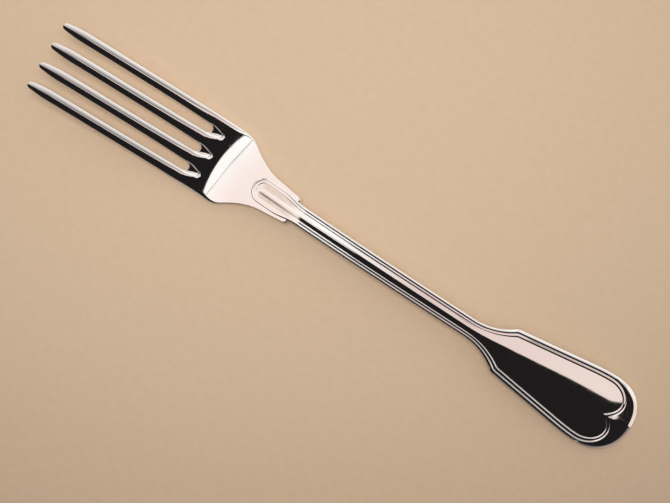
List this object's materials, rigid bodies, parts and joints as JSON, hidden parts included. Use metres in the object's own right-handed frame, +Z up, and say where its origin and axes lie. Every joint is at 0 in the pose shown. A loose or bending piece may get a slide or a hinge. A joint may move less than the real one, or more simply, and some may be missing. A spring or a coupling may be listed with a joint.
{
  "type": "dinner fork",
  "caption": "Silver-plated table fork with slender curved tines, a raised tongue on the head, an arched stem and a fiddle handle edged with a double thread.",
  "frame": {"origin": "on the table, under the middle of the fork's length and width", "axes": "+X from the tine tips towards the handle end, +Y across the fork, +Z up out of the face"},
  "size_m": [0.206, 0.024, 0.0157],
  "materials": {
    "nickel_silver": "struck nickel silver, hidden under the plating",
    "polished_silver": "mirror-polished silver plate with fine wear scratches"
  },
  "bodies": {
    "root": {"fork_blank": "nickel_silver", "silver_plating": "polished_silver"}
  },
  "joints": []
}
